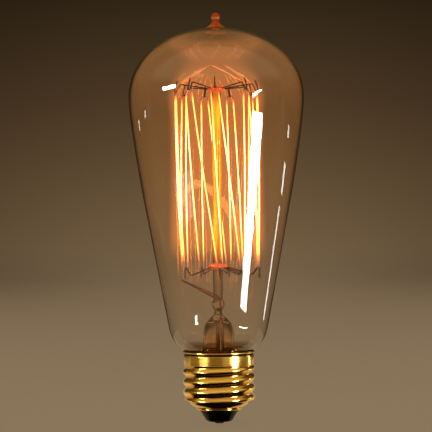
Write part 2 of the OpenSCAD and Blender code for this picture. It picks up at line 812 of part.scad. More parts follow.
module screw_shell() {
    color([0.87, 0.7, 0.25])
        skin(
            concat(
                [for (p = reversed(shell_outline)) shell_ring(p, shell_sheet)],
                [for (p = shell_outline) shell_ring(p, 0)]
            ),
            looped = true
        );
}

// The radius that seats in the shell's faceted inside
function seated(r) = (r - shell_sheet) * cos(180 / shell_sides) - seat_gap;

module insulator() {
    color([0.05, 0.04, 0.04])
        rotate_extrude()
            polygon([
                [contact_shank_d / 2, foot_z],
                [insulator_foot_d / 2, foot_z],
                [seated(mouth_d / 2), mouth_z],
                [seated(cone_d / 2), cone_z],
                [seated(cone_d / 2), cone_z + insulator_inside],
                [contact_shank_d / 2, cone_z + insulator_inside]
            ]);
}

module contact_eyelet() {
    color([0.8, 0.66, 0.35])
        translate([0, 0, flange_z])
            difference() {
                union() {
                    cylinder(d = contact_flange_d, h = contact_flange_t);
                    cylinder(d = contact_shank_d, h = cone_z + insulator_inside - flange_z);
                }
                translate([0, 0, -contact_flange_t])
                    cylinder(d = contact_shank_d - 2 * contact_shank_wall, h = rim_z);
            }
}

module contact_solder() {
    dome_r = (pow(contact_solder_d / 2, 2) + pow(flange_z, 2)) / (2 * flange_z);
    color([0.72, 0.7, 0.68])
        union() {
            intersection() {
                translate([0, 0, dome_r])
                    sphere(r = dome_r, $fn = 240);
                cylinder(d = contact_solder_d + 1, h = flange_z);
            }
            translate([0, 0, flange_z / 2])
                cylinder(d = contact_shank_d - 2 * contact_shank_wall, h = solder_plug_z - flange_z / 2);
        }
}

// Cement fills the skirt round the glass neck
module basing_cement() {
    color([0.75, 0.72, 0.65])
        difference() {
            translate([0, 0, thread_top_z + shell_sheet])
                cylinder(r = seated(skirt_r), h = skirt_h - 1.5 * shell_sheet);
            rotate_extrude()
                polygon(concat([[0, neck_foot_z]], bulb_outline));
        }
}

bulb_envelope();
glass_tip();
stem_flare();
stem_press();
exhaust_tube();
support_rod();
upper_bead();
lower_bead();
for (k = [1 : upper_hooks])
    upper_hook(k - 1);
for (k = [1 : upper_hooks - 1])
    lower_hook(k - 1);
filament();
inner_lead_front();
inner_lead_rear();
seal_wire_front();
seal_wire_rear();
weld_bead_front();
weld_bead_rear();
outer_lead_centre();
outer_lead_side();
side_solder();
screw_shell();
insulator();
contact_eyelet();
contact_solder();
basing_cement();
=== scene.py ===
import math

import bmesh
import bpy
from mathutils import Matrix, Vector


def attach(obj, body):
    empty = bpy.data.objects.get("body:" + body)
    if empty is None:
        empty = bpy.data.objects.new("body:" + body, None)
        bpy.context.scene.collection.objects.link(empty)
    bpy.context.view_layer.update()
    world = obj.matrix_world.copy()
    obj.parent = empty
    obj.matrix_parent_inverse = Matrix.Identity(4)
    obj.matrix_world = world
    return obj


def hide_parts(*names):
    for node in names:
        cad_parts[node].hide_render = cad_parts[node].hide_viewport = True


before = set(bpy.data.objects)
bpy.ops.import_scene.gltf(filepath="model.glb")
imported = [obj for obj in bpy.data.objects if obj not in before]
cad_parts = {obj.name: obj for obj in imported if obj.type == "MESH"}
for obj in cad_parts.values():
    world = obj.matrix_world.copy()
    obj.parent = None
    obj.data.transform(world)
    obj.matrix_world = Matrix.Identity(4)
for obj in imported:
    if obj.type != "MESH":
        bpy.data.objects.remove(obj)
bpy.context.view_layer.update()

MM = 0.001
TURN = 2 * math.pi

# Heights of the lamp in millimetres, from the contact upwards
FLANGE, FOOT, MOUTH, SHANK_TOP = 0.52, 0.87, 4.85, 8.45
THREAD_FOOT, THREAD_TOP, SKIRT_TOP = 8.708, 21.35, 24.75
NECK_FOOT, NECK_TOP, STEM_TOP, PRESS_TOP = 14.01, 24.41, 31.51, 44.81
LOWER_BEAD, UPPER_BEAD, WIDEST, TOP = 56.81, 121.41, 118.01, 149.31
STRAND_FOOT, STRAND_TOP = 55.96, 120.36

# The cap's radii, sheet and thread; PHASE is a crest's height over the cap's mouth at the front
CREST, ROOT, SKIRT, SHEET = 13.1, 12.15, 12.65, 0.3
PITCH, THREAD_DEPTH, RUN_OUT, PHASE = 3.629, 0.95, 1.597, 7.39

# The bulb: radii, wall, the taper's ends [radius, height], the dome and the tip
NECK, BULB_R, GLASS_WALL = 11.3, 31.9, 0.7
TAPER_FOOT, TAPER_TOP = (18, 35.01), (26.7, 80.91)
DOME_RISE, DOME_FULLNESS = 25.3, 2.1
TIP_FLARE, TIP_BALL = 5.6, 1.65
MIDDLE = 0.09  # in metres: the lamps aim at this height

# The cage: its radius, the hooks' bends, the wires' radii and the filament's bends and bow
CAGE, CROOK, ELBOW_RUN = 15.0, 0.55, 0.7
HOOK_R, LEAD_R, FILAMENT_R = 0.2, 0.3, 0.2
TOP_BEND, LOW_BEND, STRAND_BOW = 1.3, 0.9, 0.5
UPPER_AZIMUTHS = [-79, -40, -2, 45, 80, 122, 160, 197, 233]
LOWER_AZIMUTHS = [-48, 3, 35, 77, 103, 138, 164, 204]


# ---- node sums

def operator(operation, swapped=False):
    """What a Link does with another Link or a number."""
    def made(self, other):
        return self.bench.sum(operation, *((other, self) if swapped else (self, other)))
    return made


class Link:
    """A node's output that can stand in a sum."""
    __add__ = __radd__ = operator("ADD")
    __mul__ = __rmul__ = operator("MULTIPLY")
    __sub__, __rsub__ = operator("SUBTRACT"), operator("SUBTRACT", swapped=True)
    __truediv__, __rtruediv__ = operator("DIVIDE"), operator("DIVIDE", swapped=True)
    __pow__ = operator("POWER")

    def __init__(self, bench, socket):
        self.bench, self.socket = bench, socket


class Bench:
    """The nodes of one material, one world or one geometry tree."""

    def __init__(self, tree):
        self.tree = tree

    def node(self, kind, sockets=None, settings=None, out=0):
        """A node of this kind: first its settings, then its sockets' values and links."""
        made = self.tree.nodes.new(kind)
        for name, value in (settings or {}).items():
            if name == "stops":
                ramp = made.color_ramp
                while len(ramp.elements) < len(value):
                    ramp.elements.new(0.5)
                for element, (place, colour) in zip(ramp.elements, value):
                    element.position, element.color = place, (*colour, 1.0)
            else:
                setattr(made, name, value)
        for name, value in (sockets or {}).items():
            socket = made.inputs[name]
            if isinstance(value, Link):
                self.tree.links.new(value.socket, socket)
            else:
                socket.default_value = (*value, 1.0) if socket.type == "RGBA" else value
        return Link(self, made.outputs[out])

    def sum(self, operation, *values):
        return self.node("ShaderNodeMath", dict(enumerate(values)), {"operation": operation})

    def clamp(self, value):
        return self.node("ShaderNodeClamp", {"Value": value})

    def between(self, value, low, high, start=0.0, end=1.0):
        """start below low, end above high, and smooth from one to the other."""
        return self.node(
            "ShaderNodeMapRange",
            {"Value": value, "From Min": low, "From Max": high, "To Min": start, "To Max": end},
            {"interpolation_type": "SMOOTHSTEP"},
        )

    def blend(self, share, first, second):
        """The first colour, turning into the second."""
        return self.node(
            "ShaderNodeMix", {0: share, 6: first, 7: second}, {"data_type": "RGBA"}, out=2
        )

    def ramp(self, value, stops):
        """Colours that turn into one another as the value grows, each pure at its stop."""
        return self.node("ShaderNodeValToRGB", {"Fac": value}, {"stops": stops})

    def mix(self, share, first, second):
        """The first shader, turning into the second."""
        return self.node("ShaderNodeMixShader", {0: share, 1: first, 2: second})

    def spot(self):
        """The point on the piece."""
        return self.node("ShaderNodeTexCoord", out="Object")

    def parts(self, vector, axes="XYZ"):
        """A vector's numbers along the axes."""
        return [self.node("ShaderNodeSeparateXYZ", {0: vector}, out=axis) for axis in axes]

    def height(self, spot):
        return self.parts(spot, "Z")[0]

    def away(self, spot):
        """The distance from the lamp's axis."""
        x, y = self.parts(spot, "XY")
        return (x * x + y * y) ** 0.5

    def turn(self, x, y):
        """The angle from the front, the same towards the left and the right."""
        return self.sum("ABSOLUTE", self.sum("ARCTAN2", x, y * -1.0))

    def rays(self):
        """Whether this is looked at straight from the camera, in a reflection or through glass."""
        return [
            self.node("ShaderNodeLightPath", out=f"Is {way} Ray")
            for way in ("Camera", "Glossy", "Transmission")
        ]

    def grain(self, spot, scale, detail=3.0, stretch=(1, 1, 1)):
        """Noise of a size, stretched along the axes."""
        moved = self.node("ShaderNodeMapping", {"Vector": spot, "Scale": stretch})
        return self.node("ShaderNodeTexNoise", {"Vector": moved, "Scale": scale, "Detail": detail})

    def slant(self):
        """How far glass is looked at from the side: 0 face on, 1 at its outline."""
        return self.node("ShaderNodeLayerWeight", {"Blend": 0.5}, out="Facing")

    def rim(self, start, end):
        """Glass looks darker near its outline, from the slant start to the slant end."""
        return self.between(self.slant(), start, end)

    def bump(self, height, strength, distance):
        return self.node(
            "ShaderNodeBump", {"Height": height, "Strength": strength, "Distance": distance}
        )


def rgb(*seen):
    """A colour as the shader wants it, from the colour as it is seen, up to 255."""
    return tuple(
        v / 12.92 if v <= 0.04045 else ((v + 0.055) / 1.055) ** 2.4
        for v in (part / 255 for part in seen)
    )


def finish_of(name, sockets, dress, tint=None):
    """A Principled material, whose dress is what changes over the surface. With a tint it is
    clear glass, which passes the lamps' light on to what is inside it."""
    material = bpy.data.materials.new(name)
    material.use_nodes = True
    tree = material.node_tree
    b = Bench(tree)
    shader = next(n for n in tree.nodes if n.type == "BSDF_PRINCIPLED")
    for socket, value in sockets.items():
        shader.inputs[socket].default_value = value
    for socket, link in dress(b, b.spot()).items():
        tree.links.new(link.socket, shader.inputs[socket])
    if tint:
        passed = b.node("ShaderNodeBsdfTransparent", {"Color": tint})
        asked = b.node("ShaderNodeLightPath", out="Is Shadow Ray")
        both = b.mix(asked, Link(b, shader.outputs[0]), passed)
        end = next(n for n in tree.nodes if n.type == "OUTPUT_MATERIAL")
        tree.links.new(both.socket, end.inputs["Surface"])
    return material


def finish(name, sockets, tint=None):
    """Turns a dress into a maker of its material."""
    return lambda dress: lambda: finish_of(name, sockets, dress, tint)


# ---- materials

def bulb_glass(inside=False):
    """Thin light amber glass, drawn out in faint upright streaks, stained by the cement at its
    neck. Its inner skin has a painted orange glow, a haze round the cage for the filament's light."""
    def dress(b, spot):
        z = b.height(spot)
        wave = b.grain(spot, 55, 2, (1, 1, 0.35))
        streaks = b.grain(spot, 240, 4, (1, 1, 0.12))
        clear = b.blend(streaks, (0.975, 0.925, 0.85), (0.99, 0.945, 0.885))
        crown = b.between(z, 0.1405, 0.1425) * b.rim(0.50, 0.60)
        clear = b.blend(crown, clear, (0.58, 0.46, 0.18))
        clear = b.blend(b.between(z, 0.0290, 0.0268), clear, (0.46, 0.32, 0.18))
        hem = b.blend(b.between(z, 0.112, 0.128), (0.10, 0.036, 0.008), (0.24, 0.165, 0.05))
        looks = {
            "Base Color": b.blend(b.rim(0.70, 0.90), clear, hem),
            "Normal": b.bump(wave + streaks * 0.1, 0.06, 0.002),
        }
        if inside:
            # Painted glow: orange emission on the inner skin, strongest round the cage, for the
            # filament's light
            rise = b.between(z, 0.030, 0.090)
            over = b.between(z, 0.112, 0.134)
            facing = 1.0 - b.slant()
            aside = b.away(spot) * (1.0 - facing * facing) ** 0.5
            cage = b.between(aside, 0.0185, 0.0145) * b.between(z, 0.058, 0.070)
            drawn = b.between(b.grain(spot, 190, 4, (1, 1, 0.05)), 0.56, 0.72)
            painted_glow = b.blend(rise, (0.004, 0.001, 0.0), (0.088, 0.034, 0.007))
            painted_glow = b.blend(drawn * rise * 0.6, painted_glow, (0.135, 0.080, 0.032))
            painted_glow = b.blend(over, painted_glow, (0.150, 0.056, 0.014))
            painted_glow = b.blend(cage * b.between(z, 0.143, 0.136), painted_glow, (0.40, 0.125, 0.034))
            painted_glow = b.blend(cage * b.between(z, 0.126, 0.114), painted_glow, (0.50, 0.125, 0.024))
            painted_glow = b.blend(crown, painted_glow, (0.05, 0.02, 0.0))
            behind = b.node("ShaderNodeNewGeometry", out="Backfacing")
            looks["Emission Color"] = b.blend(behind, painted_glow, (0.0, 0.0, 0.0))
        return looks
    return finish_of(
        "amber_glass_inner_skin" if inside else "amber_bulb_glass",
        {"Transmission Weight": 1.0, "IOR": 1.5, "Roughness": 0.0,
         "Emission Strength": 1.0 if inside else 0.0},
        dress, (0.98, 0.96, 0.93),
    )


@finish(
    "tip_glass",
    {"Transmission Weight": 0.04, "IOR": 1.4, "Emission Strength": 0.8,
     "Specular IOR Level": 0.05}, (0.97, 0.80, 0.6),
)
def tip_glass(b, spot):
    """The sealed tip: thick amber glass, painted a deep orange and given a painted glow, for the
    filament's light that it gathers.
    """
    z = b.height(spot)
    foot = b.between(z, 0.1448, 0.1440)
    curl = b.grain(spot, 420, 3)
    waist = b.between(z, 0.1458, 0.1464) * b.between(z, 0.1472, 0.1467)
    # Painted glow: orange emission, dimmer at the waist and brighter in patches at the flare's foot
    painted_tip_glow = b.blend(curl, (0.03, 0.003, 0.0001), (0.24, 0.032, 0.0006))
    painted_tip_glow = b.blend(waist * 0.7, painted_tip_glow, (0.02, 0.001, 0.0))
    painted_tip_glow = b.blend(foot * b.between(curl, 0.4, 0.6), painted_tip_glow, (0.42, 0.085, 0.002))
    # The body's deep orange is painted light from the filament, over the glass's own amber
    body = b.blend(curl, (0.13, 0.014, 0.0005), (0.26, 0.042, 0.002))
    return {
        "Base Color": b.blend(b.rim(0.4, 0.85), body, (0.10, 0.018, 0.002)),
        "Emission Color": painted_tip_glow,
        "Roughness": b.between(curl, 0.3, 0.7, 0.3, 0.5),
        "Normal": b.bump(curl, 0.4, 0.0005),
    }


def stem_glass(name="stem_glass", bend=1.22):
    """Thicker glass of the stem and the press, with pull marks along it."""
    def dress(b, spot):
        pulls = b.grain(spot, 300, 4, (1, 1, 0.15))
        knead = b.grain(spot, 620, 4)
        gather = b.between(b.height(spot), 0.0368, 0.0385) * b.between(knead, 0.5, 0.62)
        clear = b.blend(pulls, (0.86, 0.72, 0.52), (0.96, 0.87, 0.70))
        clear = b.blend(gather, clear, (0.22, 0.09, 0.025))
        return {
            "Base Color": b.blend(b.rim(0.62, 0.84), clear, (0.13, 0.05, 0.014)),
            "Normal": b.bump(pulls, 0.25, 0.0004),
        }
    return finish_of(
        name, {"Transmission Weight": 1.0, "IOR": bend, "Roughness": 0.0},
        dress, (0.96, 0.92, 0.86),
    )


@finish(
    "rod_glass",
    {"Transmission Weight": 1.0, "IOR": 1.5, "Roughness": 0.01, "Emission Strength": 1.0},
    (0.95, 0.85, 0.7),
)
def rod_glass(b, spot):
    """The clear support rod, painted amber in the cage, with painted upright stripes of glow for
    the filament behind it.
    """
    z = b.height(spot)
    pulls = b.grain(spot, 500, 4, (1, 1, 0.06))
    # Painted light: amber where the rod stands in the filament's light, clear below
    amber = b.blend(pulls, (0.97, 0.66, 0.22), (1.0, 0.80, 0.34))
    clear = b.blend(b.between(z, 0.056, 0.064), (0.97, 0.90, 0.82), amber)
    # Painted glow: upright stripes of orange emission in the cage, for the filament seen through
    # the rod
    lit = b.blend(b.between(pulls, 0.35, 0.65), (0.14, 0.030, 0.001), (0.62, 0.26, 0.010))
    caged = b.between(z, 0.058, 0.070) * b.between(z, 0.121, 0.112)
    return {
        "Base Color": b.blend(b.rim(0.26, 0.5), clear, (0.05, 0.012, 0.003)),
        "Emission Color": b.blend(caged, (0.0, 0.0, 0.0), lit),
        "Normal": b.bump(pulls, 0.4, 0.0004),
    }


@finish(
    "bead_glass",
    {"Transmission Weight": 0.3, "IOR": 1.5, "Roughness": 0.25, "Specular IOR Level": 0.2,
     "Emission Strength": 0.6}, (0.9, 0.6, 0.4),
)
def bead_glass(b, spot):
    """Beads of glass melted round the rod, with a painted red-orange glow between the wires."""
    melt = b.grain(spot, 700, 4)
    # Painted glow: red-orange emission, for the filament's light
    return {
        "Base Color": b.blend(melt, (0.62, 0.06, 0.005), (0.82, 0.16, 0.016)),
        "Emission Color": b.blend(melt, (0.10, 0.008, 0.001), (0.30, 0.035, 0.003)),
        "Normal": b.bump(melt, 0.4, 0.0004),
    }


@finish("hook_wire", {"Metallic": 0.3, "Specular IOR Level": 0.15, "Emission Strength": 0.8})
def hook_wire(b, spot):
    """Dark oxidised wire, with a painted dull red glow where the filament lies in it."""
    scale = b.grain(spot, 1500, 4, (1, 1, 0.4))
    # Painted glow: a dull red emission at the cage's radius, where the filament lies in the hooks
    near = b.between(b.away(spot), 0.0138, 0.0152)
    return {
        "Base Color": b.blend(scale, (0.010, 0.002, 0.001), (0.036, 0.008, 0.003)),
        "Emission Color": b.blend(near, (0.002, 0.0003, 0.0001), (0.03, 0.004, 0.0005)),
        "Roughness": b.between(scale, 0.2, 0.8, 0.35, 0.6),
        "Normal": b.bump(scale, 0.3, 0.0001),
    }


@finish("filament_glow", {"Roughness": 0.6, "Emission Strength": 11.0})
def filament_glow(b, spot):
    """The burning thread: yellow-white along a strand, orange and then dull by its hooks."""
    z = b.height(spot)
    rise = b.between(z, 0.0555, 0.0630, 0.0, 0.72) + b.between(z, 0.0600, 0.0760, 0.0, 0.28)
    fall = b.between(z, 0.1205, 0.1160, 0.0, 0.72) + b.between(z, 0.1170, 0.1000, 0.0, 0.28)
    patch = b.grain(spot, 130, 2, (1, 1, 0.04))
    glow = b.ramp(rise * fall * b.between(patch, 0.3, 0.6, 0.8, 1.0), [
        (0.0, (0.004, 0.0005, 0.0001)), (0.25, (0.05, 0.008, 0.001)),
        (0.5, (0.30, 0.045, 0.004)), (0.78, (0.75, 0.17, 0.025)), (1.0, (1.0, 0.33, 0.10)),
    ])
    grit = b.grain(spot, 2500, 3)
    return {
        "Base Color": b.blend(grit, (0.05, 0.03, 0.02), (0.12, 0.07, 0.04)),
        "Emission Color": glow,
        "Normal": b.bump(grit, 0.3, 0.0001),
    }


def browned_wire(name, size, detail, dark, light, depth, metallic):
    """Wire browned by the flame, with scale of a size on it."""
    def dress(b, spot):
        scale = b.grain(spot, size, detail)
        return {
            "Base Color": b.blend(scale, dark, light),
            "Roughness": b.between(scale, 0.2, 0.8, 0.45, 0.7),
            "Normal": b.bump(scale, depth, 0.0001),
        }
    return finish_of(name, {"Metallic": metallic, "Specular IOR Level": 0.2}, dress)


@finish("seal_wire", {"Metallic": 0.7, "Specular IOR Level": 0.2})
def seal_wire(b, spot):
    """Copper-clad wire, red with borate where it runs in the press."""
    scale = b.grain(spot, 700, 3)
    sealed = b.between(b.height(spot), 0.0355, 0.0375)
    bare = b.blend(scale, (0.07, 0.028, 0.014), (0.18, 0.075, 0.035))
    red = b.blend(scale, (0.05, 0.008, 0.004), (0.14, 0.030, 0.014))
    return {
        "Base Color": b.blend(sealed, bare, red),
        "Roughness": b.between(scale, 0.2, 0.8, 0.45, 0.7),
        "Normal": b.bump(scale, 0.25, 0.0001),
    }


@finish("rolled_brass", {"Metallic": 1.0})
def rolled_brass(b, spot):
    """Bright spun brass, a little browner in the grooves, with fine turning marks."""
    z = b.height(spot)
    groove = b.between(b.away(spot), 0.0131, 0.0122) * b.between(z, 0.0222, 0.0205)
    cloud = b.grain(spot, 130, 4)
    turning = b.grain(spot, 900, 3, (0.15, 0.15, 5))
    # Painted shade: a near-black band just under the rim, for the shade and dark reflection there
    rim_shade = b.between(z, 0.0248, 0.0251) * b.between(z, 0.0258, 0.0256)
    skirt = b.between(z, 0.0218, 0.0226, 0.0, 0.05)
    clean = b.blend(cloud, (0.88, 0.56, 0.11), (0.97, 0.69, 0.18))
    dull = b.blend(cloud, (0.50, 0.24, 0.035), (0.66, 0.34, 0.07))
    worn = b.blend(groove * 0.8, clean, dull)
    return {
        "Base Color": b.blend(rim_shade, worn, (0.05, 0.022, 0.006)),
        "Roughness": b.between(cloud + turning * 0.4, 0.4, 1.0, 0.08, 0.18) + skirt,
        "Normal": b.bump(turning + cloud * 2, 0.05, 0.0003),
    }


@finish("black_cap_glass", {"IOR": 1.5, "Specular IOR Level": 0.06})
def black_cap_glass(b, spot):
    """Pressed black glass, with a slight flow texture, lighter brown towards its foot."""
    flow = b.grain(spot, 260, 4)
    # Lighter brown towards the foot, below 1.6 mm
    worn = b.between(b.height(spot), 0.0016, 0.0009)
    dark = b.blend(flow, (0.003, 0.003, 0.003), (0.008, 0.007, 0.006))
    return {
        "Base Color": b.blend(worn * 0.7, dark, (0.14, 0.10, 0.06)),
        "Roughness": b.between(flow, 0.3, 0.7, 0.08, 0.2),
        "Normal": b.bump(flow, 0.15, 0.0006),
    }


@finish("tin_solder", {"Metallic": 1.0})
def tin_solder(b, spot):
    """Solder as it set: bright, puddled and a little scratched."""
    puddle = b.grain(spot, 600, 4)
    scratch = b.grain(spot, 1800, 2, (6, 0.3, 1))
    return {
        "Base Color": b.blend(puddle, (0.48, 0.46, 0.44), (0.70, 0.68, 0.65)),
        "Roughness": b.between(puddle + scratch * 0.4, 0.3, 1.1, 0.22, 0.5),
        "Normal": b.bump(puddle + scratch, 0.25, 0.0002),
    }


@finish("basing_cement", {"Roughness": 0.9})
def basing_cement(b, spot):
    """Baked basing cement, tan and grainy."""
    grit = b.grain(spot, 1600, 5)
    mottle = grit * 0.6 + b.grain(spot, 220, 3) * 0.4
    return {
        "Base Color": b.blend(mottle, (0.10, 0.06, 0.03), (0.22, 0.15, 0.09)),
        "Normal": b.bump(grit, 0.5, 0.0003),
    }


# ---- shapes

def placed(name, data):
    """A new object of this data, in the scene."""
    made = bpy.data.objects.new(name, data)
    bpy.context.scene.collection.objects.link(made)
    return made


def close_seams(mesh, smooth=None):
    """Merges doubled points and turns the faces outwards."""
    work = bmesh.new()
    work.from_mesh(mesh)
    bmesh.ops.remove_doubles(work, verts=work.verts, dist=1e-7)
    bmesh.ops.recalc_face_normals(work, faces=work.faces)
    if smooth is not None:
        for face in work.faces:
            face.smooth = smooth
    work.to_mesh(mesh)
    work.free()


def add_piece(name, points, faces, materials, edges=(), smooth=True):
    """A mesh in the frame, from points in millimetres."""
    mesh = bpy.data.meshes.new(name)
    mesh.from_pydata([tuple(c * MM for c in p) for p in points], edges, faces)
    for material in materials:
        mesh.materials.append(material)
    piece = placed(name, mesh)
    if faces:
        close_seams(mesh, smooth)
    return piece


def skin(rings, looped=False):
    """Points and faces of a skin over rings that all have as many points."""
    sides, count = len(rings[0]), len(rings)
    points = [p for ring in rings for p in ring]
    faces = [
        (i * sides + j, i * sides + (j + 1) % sides,
         (i + 1) % count * sides + (j + 1) % sides, (i + 1) % count * sides + j)
        for i in range(count if looped else count - 1) for j in range(sides)
    ]
    if not looped:
        faces.append(tuple(range(sides)))
        faces.append(tuple(range((count - 1) * sides, count * sides)))
    return points, faces


def turned(name, outline, materials, sides=144):
    """A piece turned on the lamp's axis, from its closed outline [radius, height]."""
    rings = [
        [(r * math.sin(TURN * j / sides), -r * math.cos(TURN * j / sides), z) for j in range(sides)]
        for r, z in outline
    ]
    points, faces = skin(rings, looped=True)
    return add_piece(name, points, faces, materials)


def straight(start, end, steps):
    """Points at even steps from start to end."""
    return [tuple(a + (b - a) * i / steps for a, b in zip(start, end)) for i in range(steps + 1)]


def arc(centre, radius, start, end, steps):
    """Points round a centre, from the angle start to the angle end."""
    return [
        (centre[0] + radius * math.cos(u), centre[1] + radius * math.sin(u))
        for u in (start + (end - start) * i / steps for i in range(steps + 1))
    ]


def bezier(a, b, c, d, steps):
    """Points of a curve that leaves a along b and reaches d from c."""
    out = []
    for i in range(steps + 1):
        t = i / steps
        s = 1 - t
        out.append(tuple(
            s ** 3 * a[k] + 3 * s * s * t * b[k] + 3 * s * t * t * c[k] + t ** 3 * d[k]
            for k in range(len(a))
        ))
    return out


def smooth_rows(rows, steps):
    """More rows between the given ones, on a smooth run through them all."""
    out = []
    for i in range(len(rows) - 1):
        p0, p1 = rows[max(i - 1, 0)], rows[i]
        p2, p3 = rows[i + 1], rows[min(i + 2, len(rows) - 1)]
        for k in range(steps):
            t = k / steps
            out.append(tuple(
                0.5 * (2 * b + (c - a) * t + (2 * a - 5 * b + 4 * c - d) * t * t
                       + (3 * b - a - 3 * c + d) * t ** 3)
                for a, b, c, d in zip(p0, p1, p2, p3)
            ))
    return out + [tuple(rows[-1])]


def ellipse_ring(half_x, half_y, z, squareness, sides):
    """One ring of a rounded-square section, half_x by half_y."""
    ring = []
    for j in range(sides):
        c, s = math.cos(TURN * j / sides), math.sin(TURN * j / sides)
        ring.append((
            half_x * math.copysign(abs(c) ** (2 / squareness), c),
            half_y * math.copysign(abs(s) ** (2 / squareness), s), z,
        ))
    return ring


# ---- geometry trees

def new_tree(name, inputs):
    """A geometry tree with a mesh in and out, and named inputs for its sizes."""
    tree = bpy.data.node_groups.new(name, "GeometryNodeTree")
    face = tree.interface
    face.new_socket("Geometry", in_out="INPUT", socket_type="NodeSocketGeometry")
    for label, value in inputs.items():
        kind = {float: "Float", int: "Int"}.get(type(value), "Material")
        socket = face.new_socket(label, in_out="INPUT", socket_type=f"NodeSocket{kind}")
        if value is not None:
            socket.default_value = value
    face.new_socket("Geometry", in_out="OUTPUT", socket_type="NodeSocketGeometry")
    bench = Bench(tree)
    given = tree.nodes.new("NodeGroupInput")
    return tree, bench, {s.name: Link(bench, s) for s in given.outputs if s.name}


def end_tree(bench, geometry, material):
    """Every tree ends with real faces that carry the finish."""
    smooth = bench.node("GeometryNodeSetShadeSmooth", {"Geometry": geometry})
    real = bench.node("GeometryNodeRealizeInstances", {"Geometry": smooth})
    dressed = bench.node("GeometryNodeSetMaterial", {"Geometry": real, "Material": material})
    bench.tree.links.new(dressed.socket, bench.tree.nodes.new("NodeGroupOutput").inputs[0])


def wire_tree():
    """Draws a round wire along each chain of edges."""
    tree, b, given = new_tree("draw_wire", {"Wire radius": 0.0002, "Sides": 12, "Finish": None})
    run = b.node("GeometryNodeMeshToCurve", {"Mesh": given["Geometry"]})
    circle = {"Resolution": given["Sides"], "Radius": given["Wire radius"]}
    section = b.node("GeometryNodeCurvePrimitiveCircle", circle)
    wire = b.node(
        "GeometryNodeCurveToMesh", {"Curve": run, "Profile Curve": section, "Fill Caps": True}
    )
    end_tree(b, wire, given["Finish"])
    return tree


def thread_tree():
    """Rolls the screw thread into a plain turned sleeve."""
    tree, b, given = new_tree("roll_thread", {
        "Thread foot": THREAD_FOOT * MM, "Thread top": THREAD_TOP * MM, "Pitch": PITCH * MM,
        "Depth": THREAD_DEPTH * MM, "Run out": RUN_OUT * MM,
        "First crest": (MOUTH + PHASE) * MM, "Finish": None,
    })
    spot = b.node("GeometryNodeInputPosition")
    x, y, z = b.parts(spot)
    azimuth = b.sum("ARCTAN2", x, y * -1.0)
    starts = b.clamp((z - given["Thread foot"]) / given["Run out"] + 0.25)
    ends = b.clamp((given["Thread top"] - z) / given["Run out"])
    wave = b.sum("COSINE", (z - given["First crest"]) / given["Pitch"] * TURN - azimuth)
    push = given["Depth"] * 0.5 * starts * ends * wave / b.away(spot)
    offset = b.node("ShaderNodeCombineXYZ", {"X": x * push, "Y": y * push})
    rolled = b.node("GeometryNodeSetPosition", {"Geometry": given["Geometry"], "Offset": offset})
    end_tree(b, rolled, given["Finish"])
    return tree


def run_tree(blank, tree, values):
    """Runs a tree on a blank and keeps what it makes as a plain piece of the same name."""
    modifier = blank.modifiers.new("made", "NODES")
    modifier.node_group = tree
    for item in tree.interface.items_tree:
        if item.in_out == "INPUT" and item.name in values:
            modifier[item.identifier] = values[item.name]
    name = blank.name
    blank.name = name + "_blank"
    graph = bpy.context.evaluated_depsgraph_get()
    mesh = bpy.data.meshes.new_from_object(blank.evaluated_get(graph))
    mesh.name = name
    piece = placed(name, mesh)
    bpy.data.objects.remove(blank)
    close_seams(mesh)
    return piece


DRAW_WIRE = wire_tree()
ROLL_THREAD = thread_tree()


def wires(name, runs, radius, material, sides):
    """Round wires along runs of points in millimetres, as one piece."""
    points, edges = [], []
    for run in runs:
        start = len(points)
        points += run
        edges += [(start + i, start + i + 1) for i in range(len(run) - 1)]
    blank = add_piece(name, points, [], [material], edges)
    return run_tree(
        blank, DRAW_WIRE, {"Wire radius": radius * MM, "Sides": sides, "Finish": material}
    )


# ---- outlines

def outward(azimuth):
    a = math.radians(azimuth)
    return Vector((math.sin(a), -math.cos(a), 0))


def up(rise):
    return Vector((0, 0, rise))


def sideways(azimuth):
    a = math.radians(azimuth)
    return Vector((math.cos(a), math.sin(a), 0))


def dome_point(u):
    """A point of the dome's outline, u from the widest ring at 0 to the top at a quarter turn."""
    power = 2 / DOME_FULLNESS
    return (BULB_R * max(math.cos(u), 0) ** power, WIDEST + DOME_RISE * math.sin(u) ** power)


def bulb_outline():
    """The bulb's outer outline from the neck's foot up to the dome's top."""
    slope = (TAPER_TOP[0] - TAPER_FOOT[0]) / (TAPER_TOP[1] - TAPER_FOOT[1])
    lip = (13.2, 26.91)
    neck = bezier((NECK, NECK_TOP), (NECK, 25.32), (12.052, 26.049), lip, 16)
    shoulder = bezier(
        lip, (15.497, 28.633), (TAPER_FOOT[0] - 4.21 * slope, TAPER_FOOT[1] - 4.21), TAPER_FOOT, 24
    )
    taper = straight(TAPER_FOOT, TAPER_TOP, 24)
    belly = bezier(
        TAPER_TOP, (TAPER_TOP[0] + 7.975 * slope, TAPER_TOP[1] + 7.975),
        (BULB_R, WIDEST - 7.02), (BULB_R, WIDEST), 40,
    )
    dome = [dome_point(math.pi / 2 * i / 60) for i in range(61)]
    return [(NECK, NECK_FOOT)] + neck + shoulder[1:] + taper[1:] + belly[1:] + dome[1:]


def inset(outline, t):
    """The same outline, moved in by t square to itself."""
    moved, last = [], len(outline) - 1
    for i, (r, z) in enumerate(outline):
        a, b = outline[max(i - 1, 0)], outline[min(i + 1, last)]
        way = {0: (0.0, 1.0), last: (-1.0, 0.0)}.get(i, (b[0] - a[0], b[1] - a[1]))
        length = math.hypot(*way)
        moved.append((max(r - t * way[1] / length, 0.0), z + t * way[0] / length))
    return moved


